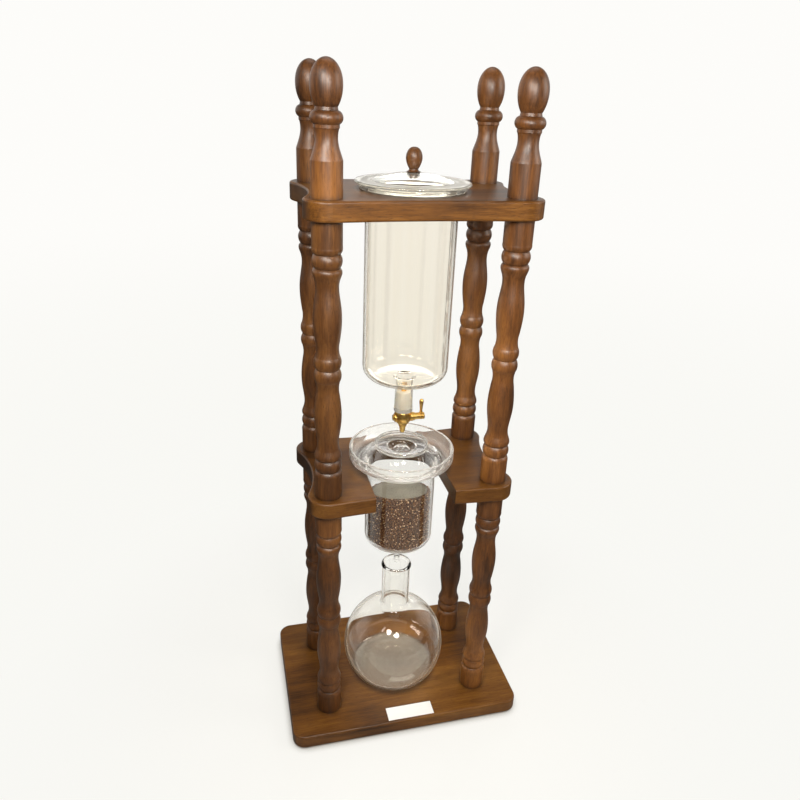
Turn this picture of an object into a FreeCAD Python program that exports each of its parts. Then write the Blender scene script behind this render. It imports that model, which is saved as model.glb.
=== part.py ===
import FreeCAD, Part
import math
import os

from FreeCAD import Vector

# Cold drip coffee tower, in millimetres.
# Z = 0 is the surface the tower stands on, the Z axis runs up through the tank, chamber and flask,
# and -Y is the front, where the slot of the middle plate opens.

# Stand
POST_X = 100.0              # half spacing of the posts, left to right
POST_Y = 57.5               # half spacing of the posts, front to back
POST_R = 15.5               # straight stretches of the posts
SPINDLE_H = 310.0           # height of one turned spindle
FINIAL_H = 121.0            # height of a finial above the top plate
EGG_R, EGG_MIDDLE = 15.2, 99.0      # egg of a finial: widest radius, and its height above the plate
EGG_NECK_R, EGG_START = 10.5, 80.2  # neck that the egg grows out of, and its height
FOOT_PROUD = 1.5            # how far the foot pads hold the base off the table
BASE_X = 152.0              # half length of the base plate
BASE_Y = 104.0              # half depth of the base plate
BASE_CORNER_R = 16.0
BASE_TOP = 20.0             # height of the base plate's upper face
PLATE_T = 20.0              # thickness of the middle and top plates
LOBE_R = 23.5               # plate lobes, concentric with the posts
WAIST_X = 112.0             # half length of a lobed plate at its waist
WAIST_Y = 76.0              # half depth of a lobed plate midway between the posts
EDGE_R = 2.5                # rounded-over plate edges
MOUTH_R = 1.2               # softened edges of the slot and of the tank's hole
SLOT_HALF_W = 47.5          # slot of the middle plate
SEAT_R = 51.5               # hole of the top plate that the tank hangs in
LABEL_X, LABEL_W, LABEL_D = 3.0, 62.0, 21.0     # shallow recess for a label plate
LABEL_FRONT = -100.5
LABEL_DEEP = 1.0

# Fasteners
STUD_R, STUD_IN_WOOD = 4.0, 20.0
SCREW_R, SCREW_TOP = 3.0, 50.0
SCREW_HEAD_R, SCREW_HEAD_H = 6.0, 3.4
DRIVER_SLOT = 1.4           # width and depth of the screwdriver slots
COUNTERBORE = 6.0           # depth of the holes for the base screws' heads
WASHER_R, WASHER_T = 9.0, 1.5
FIT = 0.05                  # radial clearance round studs, screws and the tap plug
PAD_R, PAD_T = 12.0, 3.0
PAD_X, PAD_Y = 128.0, 82.0

# Water tank, lid and knob
TANK_R, TANK_WALL = 50.0, 3.2
TANK_BOTTOM = 465.0
TANK_CORNER_R = 16.0
FLANGE_R, FLANGE_T = 57.3, 5.5
NECK_TOP_R, NECK_END_R, NECK_WALL = 10.3, 10.9, 1.8
NECK_END = 426.0
LID_R, LID_T = 62.0, 3.2
LID_DOME_R, LID_RISE = 44.5, 8.2    # foot of the dome, and how far it rises above the flat rim
LID_FLAT_R = 7.0            # flat that the knob's seals bear on
LID_BLEND_R = 6.0           # hollow round where the dome meets the rim
LID_RING_R, LID_RING_T, LID_RING_H = 45.8, 2.6, 5.0
KNOB_H, KNOB_SCREW_R = 25.0, 2.0
KNOB_HEAD_R, KNOB_HEAD_H = 4.0, 2.4
KNOB_BORE = 16.0            # depth of the knob's screw hole
SEAL_R, SEAL_T = 6.4, 0.5

# Tap
BUNG_TOP = 448.0
BUNG_HEAD_R = 11.3
TAP_TOP = 421.5             # where the tap's collar meets the bung
TAP_R = 10.5
TAP_TOP_R = 9.6
BOSS_R = 5.6                # round boss that the plug runs through
BOSS_LEFT, BOSS_RIGHT = -10.2, 12.4
NOZZLE_END = 392.5
INLET_R, INLET_BORE_R, INLET_TOP = 3.2, 2.0, 455.0
PLUG_Z, PLUG_R = 412.5, 3.8
COLLAR_R, COLLAR_END = 5.1, 14.3    # collar of the plug, against the boss
BARREL_R, BARREL_END = 4.2, 26.8
STUB_R, STUB_END = 2.0, -12.8
WASHER_OUT_R = 4.6
NUT_ACROSS_FLATS, NUT_T = 7.0, 1.6
NUT_RIGHT = -10.9           # face of the nut against its washer
LEVER_X, LEVER_TOP = 22.6, 435.0
LEVER_TENON_R, LEVER_TENON_H = 1.5, 2.4

# Coffee chamber and what it holds
BOWL_R, BOWL_RIM = 64.5, 373.5
BOWL_FLOOR = 353.3          # flat inside the bowl, round the chamber's mouth
BOWL_CORNER_R = 12.0        # round between that flat and the bowl's wall
CHAMBER_R, GLASS_T = 43.5, 3.0
CHAMBER_BOTTOM = 236.0
CHAMBER_CORNER_R = 12.0
SPOUT_R, SPOUT_BORE_R, SPOUT_END = 4.5, 2.5, 198.5
GROUNDS_TOP = 319.0
PAPER_R, PAPER_T = 35.0, 0.6
FILTER_R, FILTER_T = 31.0, 2.0

# Spreader
DISH_R, DISH_RIM = 33.3, 378.0
WELL_R, WELL_FLOOR = 10.0, 366.5
SPREADER_WALL = 2.2
BRIM_R, BRIM_BEAD_R = 51.9, 1.5     # rolled edge of the skirt: its centre line, and its own radius
BRIM_GAP = 0.15             # between the rolled edge and the bowl

# Flask
FLASK_R, FLASK_WALL = 68.5, 2.4
FLASK_CENTRE = 42.0         # height of the sphere's centre above the base plate
FLASK_FOOT_R = 10.0         # round between the sphere and the flat foot
FLASK_NECK_R = 18.5
FLASK_SHOULDER_R = 8.0
FLASK_LIP_R = 19.9
FLASK_TOP = 196.2

# Levels that follow from the dimensions above
BASE_BOTTOM = FOOT_PROUD
MID_BOTTOM = BASE_TOP + SPINDLE_H
MID_TOP = MID_BOTTOM + PLATE_T
TOP_BOTTOM = MID_TOP + SPINDLE_H
TOP_TOP = TOP_BOTTOM + PLATE_T
LID_SEAT = TOP_TOP + FLANGE_T
LEVER_SEAT = PLUG_Z + BARREL_R
CORNERS = {"fl": (-1, -1), "fr": (1, -1), "bl": (-1, 1), "br": (1, 1)}
UP = Vector(0, 0, 1)


def export(shape, node):
    shape.exportStep("parts/" + node + ".step")


def cylinder(radius, bottom, top, x=0.0, y=0.0):
    return Part.makeCylinder(radius, top - bottom, Vector(x, y, bottom), UP)


def cylinder_x(radius, left, right, z):
    return Part.makeCylinder(radius, right - left, Vector(left, 0, z), Vector(1, 0, 0))


def post_places(half_x=POST_X, half_y=POST_Y):
    return [(sx * half_x, sy * half_y) for sx, sy in CORNERS.values()]


def group(shapes):
    """Identical loose pieces, kept as separate solids of one node."""
    return Part.makeCompound(shapes)


def sweep(centre_r, centre_z, radius, start_deg, end_deg):
    """Arc step for turned(): its middle and end points."""
    points = []
    for angle in ((start_deg + end_deg) / 2, end_deg):
        turn = math.radians(angle)
        points.append((centre_r + radius * math.cos(turn), centre_z + radius * math.sin(turn)))
    return points


def turned(start, *steps):
    """Solid of revolution about Z. The profile runs through (radius, height) points and closes itself.

    A step of one point is a straight line, of two an arc, and of more a smooth curve."""
    edges = []
    here = start
    for step in steps:
        points = [Vector(r, 0, z) for r, z in [here, *step]]
        if len(points) == 2:
            edges.append(Part.LineSegment(*points).toShape())
        elif len(points) == 3:
            edges.append(Part.Arc(*points).toShape())
        else:
            curve = Part.BSplineCurve()
            curve.interpolate(points)
            edges.append(curve.toShape())
        here = step[-1]
    edges.append(Part.LineSegment(Vector(here[0], 0, here[1]), Vector(start[0], 0, start[1])).toShape())
    return Part.Face(Part.Wire(edges)).revolve(Vector(0, 0, 0), UP, 360)


def round_edges(solid, radius, wanted):
    """Rounds the edges that wanted() picks."""
    return solid.makeFillet(radius, [edge for edge in solid.Edges if wanted(edge)])


# ---- plates ----

def lobed_face():
    """Plate shape: a lobe round each post, joined by long hollow arcs that are tangent to the lobes."""
    side_r = ((WAIST_X - POST_X) ** 2 + POST_Y ** 2 - LOBE_R ** 2) / (2 * (LOBE_R - (WAIST_X - POST_X)))
    long_r = ((WAIST_Y - POST_Y) ** 2 + POST_X ** 2 - LOBE_R ** 2) / (2 * (LOBE_R - (WAIST_Y - POST_Y)))
    side_centre = Vector(WAIST_X + side_r, 0)
    long_centre = Vector(0, WAIST_Y + long_r)
    post = Vector(POST_X, POST_Y)
    to_side = post + (side_centre - post).normalize() * LOBE_R
    to_long = post + (long_centre - post).normalize() * LOBE_R
    lobe_middle = post + (to_side + to_long - post * 2).normalize() * LOBE_R

    def mirrored(point, sx, sy):
        return Vector(point.x * sx, point.y * sy)

    edges = []
    for sx, sy in CORNERS.values():
        points = [mirrored(p, sx, sy) for p in (to_side, lobe_middle, to_long)]
        edges.append(Part.Arc(*points).toShape())
    for sign in (-1, 1):
        ends = (mirrored(to_side, sign, -1), Vector(sign * WAIST_X, 0), mirrored(to_side, sign, 1))
        edges.append(Part.Arc(*ends).toShape())
        ends = (mirrored(to_long, -1, sign), Vector(0, sign * WAIST_Y), mirrored(to_long, 1, sign))
        edges.append(Part.Arc(*ends).toShape())
    return Part.Face(Part.Wire(Part.__sortEdges__(edges)))


def lobed_plate(bottom, opening):
    """Lobed plate with an opening through it, its edges rounded over, and a hole under each post."""
    solid = lobed_face().extrude(Vector(0, 0, PLATE_T))
    solid = round_edges(solid, EDGE_R, lambda e: e.BoundBox.ZLength < 0.01)
    solid = solid.cut(opening.extrude(Vector(0, 0, PLATE_T)))

    def at_opening(edge):
        flat = edge.BoundBox.ZLength < 0.01
        lowered = edge.copy().translated(Vector(0, 0, -edge.BoundBox.ZMin))
        return flat and opening.distToShape(lowered)[0] < 0.01

    solid = round_edges(solid, MOUTH_R, at_opening)
    solid.translate(Vector(0, 0, bottom))
    for x, y in post_places():
        solid = solid.cut(cylinder(STUD_R + FIT, bottom - 1, bottom + PLATE_T + 1, x, y))
    return solid


def base_plate():
    corner = Vector(-BASE_X, -BASE_Y, BASE_BOTTOM)
    plate = Part.makeBox(2 * BASE_X, 2 * BASE_Y, BASE_TOP - BASE_BOTTOM, corner)
    plate = round_edges(plate, BASE_CORNER_R, lambda e: e.BoundBox.ZLength > 1)
    plate = round_edges(plate, EDGE_R, lambda e: e.BoundBox.ZLength < 0.01)
    for x, y in post_places():
        plate = plate.cut(cylinder(SCREW_R + 4 * FIT, 0, BASE_TOP + 1, x, y))
        plate = plate.cut(cylinder(WASHER_R + 1, 0, BASE_BOTTOM + COUNTERBORE, x, y))
    for x, y in post_places(PAD_X, PAD_Y):
        plate = plate.cut(cylinder(PAD_R, 0, PAD_T, x, y))
    recess = Part.makeBox(LABEL_W, LABEL_D, LABEL_DEEP + 1,
                          Vector(LABEL_X - LABEL_W / 2, LABEL_FRONT, BASE_TOP - LABEL_DEEP))
    return plate.cut(recess)


def disc_face(radius):
    return Part.Face(Part.Wire(Part.makeCircle(radius)))


def mid_plate():
    """Lobed plate with a round-ended slot that the coffee chamber slides into from the front."""
    run = Part.makePlane(2 * SLOT_HALF_W, 2 * WAIST_Y, Vector(-SLOT_HALF_W, -2 * WAIST_Y, 0))
    return lobed_plate(MID_BOTTOM, disc_face(SLOT_HALF_W).fuse(run).removeSplitter())


def top_plate():
    """Lobed plate with the round seat that the tank's flange rests on."""
    return lobed_plate(TOP_BOTTOM, disc_face(SEAT_R))


# ---- turned posts ----

def spindle_half(sign):
    """Steps of the turning from its middle groove to one end: bulb, vase, two beads, plain stretch."""
    middle = SPINDLE_H / 2

    def at(offset, radius):
        return (radius, middle + sign * offset)

    return [
        [at(6.4, 14.7), at(14.0, 13.2)],
        [at(21.5, 12.0), at(30.0, 12.8)],
        [at(40.0, 14.1), at(53.5, 15.0), at(68.0, 14.2), at(79.0, 12.6), at(87.5, 11.9), at(95.0, 12.8)],
        [at(99.5, 14.4), at(103.6, 15.2), at(107.7, 12.9)],
        [at(114.4, 15.4), at(121.5, 13.2)],
        [at(124.0, 15.0), at(128.5, POST_R)],
        [at(middle, POST_R)],
    ]


def spindle():
    """One turned spindle standing on Z = 0, mirror-symmetric about its middle groove."""
    groove = (12.5, SPINDLE_H / 2)
    lower = turned((0, SPINDLE_H / 2), [groove], *spindle_half(-1), [(0, 0)])
    upper = turned((0, SPINDLE_H / 2), [groove], *spindle_half(1), [(0, SPINDLE_H)])
    return lower.fuse(upper).removeSplitter()


def finial():
    """Plain stretch, hollow neck, ring and bead, then an egg whose two halves are half ellipses."""
    start = -math.acos(EGG_NECK_R / EGG_R)
    below = (EGG_START - EGG_MIDDLE) / math.sin(start)
    above = FINIAL_H - EGG_MIDDLE
    egg = []
    for share in (0.15, 0.3, 0.5, 0.65, 0.8, 0.92, 1.0):
        turn = start + (math.pi / 2 - start) * share
        egg.append((EGG_R * math.cos(turn), EGG_MIDDLE + (above if turn > 0 else below) * math.sin(turn)))
    return turned(
        (0, 0), [(POST_R, 0)], [(POST_R, 34.2)],
        [(13.9, 39.0), (12.0, 44.8), (10.8, 51.0), (10.9, 58.0), (11.6, 61.5)],
        [(12.3, 62.3)], [(12.3, 65.3)],
        [(15.5, 71.4), (11.0, 77.3)],
        [(EGG_NECK_R, EGG_START)],
        egg,
    )


def place_posts():
    for corner, (sx, sy) in CORNERS.items():
        x, y = sx * POST_X, sy * POST_Y
        lower = spindle()
        lower.translate(Vector(x, y, BASE_TOP))
        lower = lower.cut(cylinder(SCREW_R + FIT, BASE_TOP - 1, SCREW_TOP + 2, x, y))
        lower = lower.cut(cylinder(STUD_R + FIT, MID_BOTTOM - STUD_IN_WOOD - 2, MID_BOTTOM + 1, x, y))
        export(lower, "lower_spindle_" + corner)

        upper = spindle()
        upper.translate(Vector(x, y, MID_TOP))
        upper = upper.cut(cylinder(STUD_R + FIT, MID_TOP - 1, MID_TOP + STUD_IN_WOOD + 2, x, y))
        upper = upper.cut(cylinder(STUD_R + FIT, TOP_BOTTOM - STUD_IN_WOOD - 2, TOP_BOTTOM + 1, x, y))
        export(upper, "upper_spindle_" + corner)

        top = finial()
        top.translate(Vector(x, y, TOP_TOP))
        top = top.cut(cylinder(STUD_R + FIT, TOP_TOP - 1, TOP_TOP + STUD_IN_WOOD + 2, x, y))
        export(top, "finial_" + corner)


# ---- hidden fasteners and feet ----

def stud(x, y, plate_bottom):
    bar = cylinder(STUD_R, plate_bottom - STUD_IN_WOOD, plate_bottom + PLATE_T + STUD_IN_WOOD, x, y)
    return bar.makeChamfer(0.8, bar.Edges)


def driver_slot(head_r, bottom):
    return Part.makeBox(2 * head_r, DRIVER_SLOT, DRIVER_SLOT, Vector(-head_r, -DRIVER_SLOT / 2, bottom))


def base_screw(x, y):
    """Pan head against its washer, inside the counterbore, and a shank up into the spindle."""
    head_top = BASE_BOTTOM + COUNTERBORE - WASHER_T
    head = cylinder(SCREW_HEAD_R, head_top - SCREW_HEAD_H, head_top, x, y)
    head = round_edges(head, 1.4, lambda e: abs(e.BoundBox.ZMax - (head_top - SCREW_HEAD_H)) < 0.01
                       and e.BoundBox.XLength > 1)
    slot = driver_slot(SCREW_HEAD_R, head_top - SCREW_HEAD_H)
    slot.translate(Vector(x, y, 0))
    shank = turned((0, head_top), [(SCREW_R, head_top)], [(SCREW_R, SCREW_TOP - 5)], [(0.5, SCREW_TOP)],
                   [(0, SCREW_TOP)])
    shank.translate(Vector(x, y, 0))
    return head.cut(slot).fuse(shank)


def base_washer(x, y):
    """Flat ring at the bottom of the counterbore, over the screw's head."""
    top = BASE_BOTTOM + COUNTERBORE
    ring = cylinder(WASHER_R, top - WASHER_T, top, x, y)
    return ring.cut(cylinder(SCREW_R + 4 * FIT, top - WASHER_T - 1, top + 1, x, y))


def foot_pad(x, y):
    """Rubber pad in the recess of the base, its lower edge rounded."""
    pad = cylinder(PAD_R - FIT, 0, PAD_T, x, y)
    return round_edges(pad, 1.0, lambda e: e.BoundBox.ZMax < 0.01 and e.BoundBox.XLength > 1)


# ---- water tank, lid and knob ----

def neck_outer(z):
    """Outer radius of the outlet neck, which widens a little towards its end."""
    share = (TANK_BOTTOM - z) / (TANK_BOTTOM - NECK_END)
    return NECK_TOP_R + share * (NECK_END_R - NECK_TOP_R)


def tank_glass():
    """Blown cylinder that hangs by its flange, with a rounded bottom and an outlet neck."""
    inner_r = TANK_R - TANK_WALL
    corner_r = TANK_R - TANK_CORNER_R
    corner_z = TANK_BOTTOM + TANK_CORNER_R
    flange_top = TOP_TOP + FLANGE_T
    floor = TANK_BOTTOM + TANK_WALL
    fillet = 4.0
    neck_r = neck_outer(TANK_BOTTOM - fillet)
    bore_r = neck_r - NECK_WALL
    return turned(
        (neck_outer(NECK_END) - NECK_WALL, NECK_END), [(NECK_END_R, NECK_END)],
        [(neck_r, TANK_BOTTOM - fillet)],
        sweep(neck_r + fillet, TANK_BOTTOM - fillet, fillet, 180, 90),
        [(corner_r, TANK_BOTTOM)], sweep(corner_r, corner_z, TANK_CORNER_R, -90, 0),
        [(TANK_R, TOP_TOP - 2.5)], sweep(TANK_R + 2.5, TOP_TOP - 2.5, 2.5, 180, 90),
        [(FLANGE_R - 2, TOP_TOP)], sweep(FLANGE_R - 2, TOP_TOP + 2, 2, -90, 0),
        [(FLANGE_R, flange_top - 2)], sweep(FLANGE_R - 2, flange_top - 2, 2, 0, 90),
        [(inner_r + 1.5, flange_top)], sweep(inner_r + 1.5, flange_top - 1.5, 1.5, 90, 180),
        [(inner_r, corner_z)], sweep(corner_r, corner_z, TANK_CORNER_R - TANK_WALL, 0, -90),
        [(bore_r + fillet, floor)], sweep(bore_r + fillet, floor - fillet, fillet, 90, 180),
    )


def cap_height(radius, apex, rise, span):
    """Height at a radius of a spherical cap that rises this much over this half span."""
    sphere_r = (span ** 2 + rise ** 2) / (2 * rise)
    return apex - sphere_r + math.sqrt(sphere_r ** 2 - radius ** 2)


def dome(radius, foot):
    """Point of the lid's dome over a foot level, flat where the knob's seals bear on it."""
    return (radius, cap_height(max(radius, LID_FLAT_R), foot + LID_RISE, LID_RISE, LID_DOME_R))


def tank_lid():
    """Flat rim round a low dome, pressed in one, with a ring that drops inside the tank's mouth."""
    top = LID_SEAT + LID_T
    rim_r = LID_R - LID_T / 2
    ring_in = LID_RING_R - LID_RING_T
    ring_end = LID_SEAT - LID_RING_H
    hole = KNOB_SCREW_R + 0.3
    lid = turned(
        dome(hole, LID_SEAT), [dome(LID_FLAT_R, LID_SEAT)],
        [dome(ring_in / 2, LID_SEAT), (ring_in, dome(ring_in, LID_SEAT)[1])],
        [(ring_in, ring_end + 1)], [(LID_RING_R - LID_RING_T / 2, ring_end), (LID_RING_R, ring_end + 1)],
        [(LID_RING_R, LID_SEAT)], [(rim_r, LID_SEAT)], sweep(rim_r, LID_SEAT + LID_T / 2, LID_T / 2, -90, 90),
        [(LID_DOME_R, top)], [dome(LID_DOME_R / 2, top), dome(LID_FLAT_R, top)], [dome(hole, top)],
    )

    def at_dome_foot(edge):
        ring = edge.BoundBox
        return ring.ZLength < 0.01 and abs(ring.ZMax - top) < 0.01 and abs(ring.XMax - LID_DOME_R) < 0.01

    return round_edges(lid, LID_BLEND_R, at_dome_foot)


def lid_knob():
    """Small egg on a flared base, bored for the screw."""
    base = dome(0, LID_SEAT + LID_T)[1] + SEAL_T
    knob = turned(
        (0, base), [(7.2, base)], [(7.5, base + 0.7)], [(5.5, base + 1.6), (4.8, base + 3.2)],
        [(7.2, base + 7.8), (8.65, base + 14.0), (7.7, base + 19.6), (4.6, base + 23.8), (0, base + KNOB_H)],
    )
    return knob.cut(cylinder(KNOB_SCREW_R + FIT, base - 1, base + KNOB_BORE))


def knob_seal(bottom):
    return cylinder(SEAL_R, bottom, bottom + SEAL_T).cut(cylinder(KNOB_SCREW_R + FIT, bottom - 1, bottom + 2))


def knob_seals():
    """One seal between the knob and the lid, and one between the lid and the screw's head."""
    return [knob_seal(dome(0, LID_SEAT + LID_T)[1]), knob_seal(dome(0, LID_SEAT)[1] - SEAL_T)]


def knob_screw():
    """Pan head under the lower seal, and a shank up through the lid into the knob."""
    head_top = dome(0, LID_SEAT)[1] - SEAL_T
    head_bottom = head_top - KNOB_HEAD_H
    head = cylinder(KNOB_HEAD_R, head_bottom, head_top)
    head = round_edges(head, 1.0, lambda e: e.BoundBox.ZMax < head_bottom + 0.01 and e.BoundBox.XLength > 1)
    shank = cylinder(KNOB_SCREW_R, head_top, dome(0, LID_SEAT + LID_T)[1] + KNOB_BORE - 2)
    return head.cut(driver_slot(KNOB_HEAD_R, head_bottom)).fuse(shank)


# ---- outlet bung and tap ----

def outlet_bung():
    """Silicone bung wedged in the neck, with a head that the tap's collar pulls against."""
    taper = neck_outer(NECK_END) - NECK_WALL
    top_r = neck_outer(BUNG_TOP) - NECK_WALL
    head_round = 0.8
    head_r = BUNG_HEAD_R - head_round
    return turned(
        (INLET_R, TAP_TOP), [(head_r, TAP_TOP)], sweep(head_r, TAP_TOP + head_round, head_round, -90, 0),
        [(BUNG_HEAD_R, NECK_END)], [(taper, NECK_END)], [(top_r, BUNG_TOP - 1)], [(top_r - 1, BUNG_TOP)],
        [(INLET_R, BUNG_TOP)],
    )


def tap_body():
    """Brass body turned in one piece: inlet tube, tulip-shaped barrel and drip nozzle."""
    body = turned(
        (0, NOZZLE_END), [(2.2, NOZZLE_END)], [(3.1, NOZZLE_END + 0.9)],
        [(4.1, 400.6)], [(4.9, 401.2)], [(4.9, 402.6)],
        [(7.6, 405.8), (10.0, 410.4)],
        [(TAP_R, 414.6), (TAP_TOP_R + 0.2, TAP_TOP - 1.2)], [(TAP_TOP_R - 0.6, TAP_TOP)], [(INLET_R, TAP_TOP)],
        [(INLET_R, INLET_TOP - 0.6)], [(INLET_R - 0.6, INLET_TOP)], [(0, INLET_TOP)],
    )
    boss = cylinder_x(BOSS_R, BOSS_LEFT, BOSS_RIGHT, PLUG_Z)
    boss = round_edges(boss, 0.7, lambda e: e.BoundBox.XMin > BOSS_RIGHT - 0.01)
    body = body.cut(cylinder_x(BOSS_R, -2 * TAP_R, BOSS_LEFT, PLUG_Z)).fuse(boss).removeSplitter()
    body = body.cut(cylinder(INLET_BORE_R, PLUG_Z, INLET_TOP + 1))
    body = body.cut(cylinder(1.4, NOZZLE_END - 1, PLUG_Z))
    return body.cut(cylinder_x(PLUG_R + FIT, -2 * TAP_R, 2 * TAP_R, PLUG_Z))


def tap_plug():
    """Round plug with a cross port, a collared barrel that carries the lever, and a stub for the nut."""
    collar = cylinder_x(COLLAR_R, BOSS_RIGHT + 0.2, COLLAR_END, PLUG_Z)
    barrel = cylinder_x(BARREL_R, COLLAR_END, BARREL_END, PLUG_Z)
    barrel = round_edges(barrel, 0.8, lambda e: e.BoundBox.XMin > BARREL_END - 0.01)
    plug = cylinder_x(PLUG_R, BOSS_LEFT, COLLAR_END, PLUG_Z)
    shape = plug.fuse([collar, barrel, cylinder_x(STUB_R, STUB_END, BOSS_LEFT, PLUG_Z)]).removeSplitter()
    shape = shape.cut(cylinder(INLET_BORE_R - 0.2, PLUG_Z - BARREL_R, PLUG_Z + BARREL_R))
    return shape.cut(cylinder(LEVER_TENON_R, LEVER_SEAT - LEVER_TENON_H - 0.1, LEVER_SEAT + 1, LEVER_X))


def tap_lever():
    """Drop-shaped lever whose tenon is pressed into the barrel."""
    seat = LEVER_SEAT
    lever = turned(
        (0, seat - LEVER_TENON_H), [(LEVER_TENON_R, seat - LEVER_TENON_H)], [(LEVER_TENON_R, seat)],
        [(2.2, seat + 0.8), (1.6, seat + 1.6)],
        [(1.75, seat + 6.0), (2.3, seat + 11.0), (2.65, seat + 14.6), (2.1, LEVER_TOP - 1.2), (0, LEVER_TOP)],
    )
    lever.translate(Vector(LEVER_X, 0, 0))
    return lever


def plug_washer():
    """Thin washer between the body and the nut, a hair clear of the body."""
    ring = cylinder_x(WASHER_OUT_R, NUT_RIGHT, BOSS_LEFT - 0.1, PLUG_Z)
    return ring.cut(cylinder_x(STUB_R + FIT, -2 * TAP_R, 0, PLUG_Z))


def plug_nut():
    """Small hexagon nut that holds the plug in the body."""
    corner = NUT_ACROSS_FLATS / 2 / math.cos(math.pi / 6)
    rim = [Vector(0, corner * math.sin(i * math.pi / 3), corner * math.cos(i * math.pi / 3)) for i in range(7)]
    nut = Part.Face(Part.makePolygon(rim)).extrude(Vector(NUT_T, 0, 0))
    nut.translate(Vector(NUT_RIGHT - NUT_T, 0, PLUG_Z))
    return nut.cut(cylinder_x(STUB_R, -2 * TAP_R, 0, PLUG_Z))


# ---- coffee chamber ----

def coffee_chamber():
    """One blown piece: shallow bowl that rests on the middle plate, straight chamber and drip spout."""
    inner_r = CHAMBER_R - GLASS_T
    corner_r = CHAMBER_R - CHAMBER_CORNER_R
    corner_z = CHAMBER_BOTTOM + CHAMBER_CORNER_R
    floor = CHAMBER_BOTTOM + GLASS_T
    bowl_in = BOWL_R - GLASS_T
    lip = GLASS_T / 2
    mouth = 3.0
    return turned(
        (SPOUT_BORE_R, SPOUT_END), [(SPOUT_R - 0.8, SPOUT_END)], [(SPOUT_R, CHAMBER_BOTTOM - 8)],
        [(SPOUT_R + 1.2, CHAMBER_BOTTOM - 2.6), (SPOUT_R + 5, CHAMBER_BOTTOM)],
        [(corner_r, CHAMBER_BOTTOM)], sweep(corner_r, corner_z, CHAMBER_CORNER_R, -90, 0),
        [(CHAMBER_R, MID_TOP - 3)], sweep(CHAMBER_R + 3, MID_TOP - 3, 3, 180, 90),
        [(52.5, MID_TOP)], [(BOWL_R - 2.4, MID_TOP + 7.6)],
        [(BOWL_R - 0.6, MID_TOP + 9.7), (BOWL_R, MID_TOP + 12.4)],
        [(BOWL_R, BOWL_RIM - lip)], sweep(BOWL_R - lip, BOWL_RIM - lip, lip, 0, 180),
        [(bowl_in, BOWL_FLOOR + BOWL_CORNER_R)],
        sweep(bowl_in - BOWL_CORNER_R, BOWL_FLOOR + BOWL_CORNER_R, BOWL_CORNER_R, 0, -90),
        [(inner_r + mouth, BOWL_FLOOR)], sweep(inner_r + mouth, BOWL_FLOOR - mouth, mouth, 90, 180),
        [(inner_r, corner_z)], sweep(corner_r, corner_z, CHAMBER_CORNER_R - GLASS_T, 0, -90),
        [(SPOUT_BORE_R + 3, floor)], sweep(SPOUT_BORE_R + 3, floor - 3, 3, 90, 180),
    )


def lower_filter():
    floor = CHAMBER_BOTTOM + GLASS_T
    disc = cylinder(FILTER_R, floor, floor + FILTER_T)
    return round_edges(disc, 0.6, lambda e: e.BoundBox.XLength > 1 and e.BoundBox.ZLength < 0.01)


def coffee_grounds():
    """Bed of ground coffee, a little clear of the glass, that rests on the lower filter."""
    gap = 0.3
    radius = CHAMBER_R - GLASS_T - gap
    corner_r = CHAMBER_R - CHAMBER_CORNER_R
    corner_z = CHAMBER_BOTTOM + CHAMBER_CORNER_R
    filter_top = CHAMBER_BOTTOM + GLASS_T + FILTER_T
    under = CHAMBER_BOTTOM + GLASS_T + gap
    return turned(
        (0, filter_top), [(FILTER_R + gap, filter_top)], [(FILTER_R + gap, under)], [(corner_r, under)],
        sweep(corner_r, corner_z, radius - corner_r, -90, 0),
        [(radius, GROUNDS_TOP - 1.5)], [(radius - 1.5, GROUNDS_TOP)], [(0, GROUNDS_TOP)],
    )


def filter_paper():
    return cylinder(PAPER_R, GROUNDS_TOP, GROUNDS_TOP + PAPER_T)


def water_spreader():
    """Perforated dish on a flared skirt, whose rolled edge rests in the round corner of the bowl."""
    wall = SPREADER_WALL
    corner_r = BOWL_R - GLASS_T - BOWL_CORNER_R
    reach = BOWL_CORNER_R - BRIM_BEAD_R - BRIM_GAP
    brim_z = BOWL_FLOOR + BOWL_CORNER_R - math.sqrt(reach ** 2 - (BRIM_R - corner_r) ** 2)

    def brim(degrees):
        turn = math.radians(degrees)
        return (BRIM_R + BRIM_BEAD_R * math.cos(turn), brim_z + BRIM_BEAD_R * math.sin(turn))

    dish = turned(
        (0, WELL_FLOOR - wall), [(WELL_R, WELL_FLOOR - wall)], [(16.6, 368.2), (18.6, 371.0)], [(31.0, 372.8)],
        [(34.8, 366.1), (43.2, 358.7), (49.5, 355.3), brim(200)],
        [brim(315), brim(70)],
        [(50.5, 357.3), (44.5, 360.5), (36.5, 367.5), (DISH_R, 374.0)],
        [(DISH_R, DISH_RIM - 1.1)], sweep(DISH_R - 1.1, DISH_RIM - 1.1, 1.1, 0, 180),
        [(DISH_R - 2.6, 375.4), (29.0, 374.8)], [(18.6, 373.3)],
        [(15.0, 370.6), (WELL_R, WELL_FLOOR)], [(0, WELL_FLOOR)],
    )
    dish = dish.cut(cylinder(1.1, WELL_FLOOR - 5, WELL_FLOOR + 1))
    for i in range(6):
        hole = cylinder(1.1, WELL_FLOOR - 5, WELL_FLOOR + 1, 5.8, 0)
        hole.rotate(Vector(0, 0, 0), UP, 60 * i)
        dish = dish.cut(hole)
    return dish


# ---- flask ----

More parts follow.
